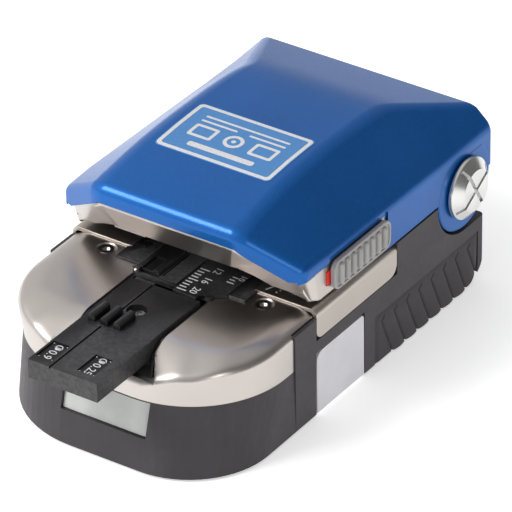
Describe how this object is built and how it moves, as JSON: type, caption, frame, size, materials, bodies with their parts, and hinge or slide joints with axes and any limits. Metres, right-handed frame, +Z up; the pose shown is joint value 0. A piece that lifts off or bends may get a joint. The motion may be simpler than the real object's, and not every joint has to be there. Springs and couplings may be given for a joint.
{
  "type": "optical fibre cleaver",
  "caption": "Handheld optical-fibre cleaver: hinged metallic lid, D-shaped metal nose, removable fibre adapter, sliding lid lock, scrap drawer and lid-driven blade carriage.",
  "frame": {"origin": "on the surface that the feet stand on, under the middle of the overall length and width", "axes": "+Z up, +Y from the nose towards the lid's hinge, +X towards the side with the lid lock and the scrap drawer"},
  "size_m": [0.0616, 0.1052, 0.0447],
  "materials": {
    "casing_plastic": "charcoal moulded plastic, fine spark-eroded texture",
    "grip_rubber": "charcoal soft-touch rubber",
    "bright_steel": "bright plated steel",
    "spring_steel": "plain spring steel",
    "cast_aluminium": "die-cast and machined aluminium",
    "machined_aluminium": "turned aluminium, fine tool marks",
    "satin_nickel": "satin nickel on cast metal",
    "deck_steel": "satin stainless sheet",
    "black_plate": "satin black coating",
    "black_plastic": "satin black engineering plastic",
    "clear_window": "clear plastic window",
    "pad_rubber": "dark green rubber clamp pads",
    "blue_paint": "metallic blue lacquer, glossy",
    "label_blue": "printed film, lighter blue with a white frame",
    "red_print": "red marking film",
    "light_grey_plastic": "light grey plastic, satin",
    "slider_plastic": "warm grey plastic, satin",
    "bronze": "sintered bronze",
    "blade_steel": "ground hard metal",
    "roller_rubber": "black rubber"
  },
  "bodies": {
    "base": {"housing": "casing_plastic", "nose_shell": "casing_plastic", "bottom_cover": "casing_plastic", "feet": "grip_rubber", "bottom_screws": "bright_steel", "chassis": "cast_aluminium", "hinge_block": "casing_plastic", "nose_cover": "satin_nickel", "cover_screws": "bright_steel", "adapter_bed": "black_plate", "deck_plate": "deck_steel", "centre_plate": "black_plate", "centre_screws": "black_plate", "scale_plate": "black_plate", "grip_right": "grip_rubber", "grip_left": "grip_rubber", "front_window": "clear_window", "adapter_body": "black_plastic", "adapter_screw": "bright_steel", "clamp_pin": "bright_steel", "pad_beds": "spring_steel", "lower_pads": "pad_rubber", "rails": "bright_steel", "hinge_shaft": "bright_steel", "hinge_caps": "machined_aluminium", "ratchet_pawl": "spring_steel", "carriage_spring": "spring_steel", "roller_bracket": "spring_steel", "roller_axle": "bright_steel", "lock_striker": "spring_steel", "lid_spring": "spring_steel"},
    "lid": {"cover_shell": "blue_paint", "label_plate": "label_blue", "lid_tray": "satin_nickel", "tray_screws": "bright_steel", "red_mark": "red_print", "catch_bar": "light_grey_plastic", "drive_finger": "deck_steel", "idler_axle": "bright_steel", "lid_springs": "spring_steel"},
    "lid_lock": {"lock_slider": "slider_plastic", "lock_hook": "spring_steel"},
    "fibre_clamp": {"upper_clamp": "cast_aluminium", "upper_pads": "pad_rubber"},
    "bending_anvil": {"anvil": "blade_steel"},
    "adapter_flap": {"adapter_clamp": "black_plastic"},
    "scrap_drawer": {"drawer_panel": "light_grey_plastic", "scrap_bin": "light_grey_plastic"},
    "carriage": {"blade_carriage": "cast_aluminium", "carriage_bushes": "bronze", "blade_axle": "bright_steel", "collector_rack": "spring_steel"},
    "blade": {"blade_wheel": "blade_steel", "ratchet_wheel": "spring_steel"},
    "collector_roller": {"drive_roller": "roller_rubber", "roller_pinion": "bronze"},
    "collector_idler": {"idler_roller": "roller_rubber"}
  },
  "joints": [
    {"name": "lid_hinge", "type": "hinge", "parent": "base", "child": "lid", "pos_m": [0, 0.0422, 0.0241], "axis": [-1, 0, 0], "range_deg": [0, 65]},
    {"name": "lock_slide", "type": "slide", "parent": "lid", "child": "lid_lock", "axis": [0, -1, 0], "range_m": [0, 0.0036]},
    {"name": "clamp_lift", "type": "slide", "parent": "lid", "child": "fibre_clamp", "axis": [0, 0, 1], "range_m": [0, 0.0008], "stiffness_N_per_m": 300, "springref_m": -0.002, "deforming": ["lid_springs"]},
    {"name": "anvil_lift", "type": "slide", "parent": "lid", "child": "bending_anvil", "axis": [0, 0, 1], "range_m": [0, 0.0008], "stiffness_N_per_m": 200, "springref_m": -0.002},
    {"name": "flap_hinge", "type": "hinge", "parent": "base", "child": "adapter_flap", "pos_m": [-0.0083, -0.0115, 0.02405], "axis": [0, -1, 0], "range_deg": [0, 95]},
    {"name": "drawer_slide", "type": "slide", "parent": "base", "child": "scrap_drawer", "axis": [1, 0, 0], "range_m": [0, 0.0135]},
    {"name": "carriage_slide", "type": "slide", "parent": "base", "child": "carriage", "axis": [1, 0, 0], "range_m": [0, 0.0121]},
    {"name": "blade_turn", "type": "hinge", "parent": "carriage", "child": "blade", "pos_m": [-0.0088, 0.0026, 0.0169], "axis": [0, 1, 0], "range_deg": [0, 22.6]},
    {"name": "roller_spin", "type": "hinge", "parent": "base", "child": "collector_roller", "pos_m": [-0.0028, 0.0205, 0.0212], "axis": [0, -1, 0], "range_deg": [0, 287]},
    {"name": "idler_spin", "type": "hinge", "parent": "lid", "child": "collector_idler", "pos_m": [-0.0028, 0.0205, 0.0265], "axis": [0, 1, 0], "range_deg": [0, 287]}
  ],
  "couplings": [
    {"joint": "carriage_slide", "follows": "lid_hinge", "m_per_rad": 0.010578},
    {"joint": "blade_turn", "follows": "lid_hinge", "ratio": 0.34615},
    {"joint": "roller_spin", "follows": "lid_hinge", "ratio": 4.4074},
    {"joint": "idler_spin", "follows": "lid_hinge", "ratio": 4.4074}
  ]
}
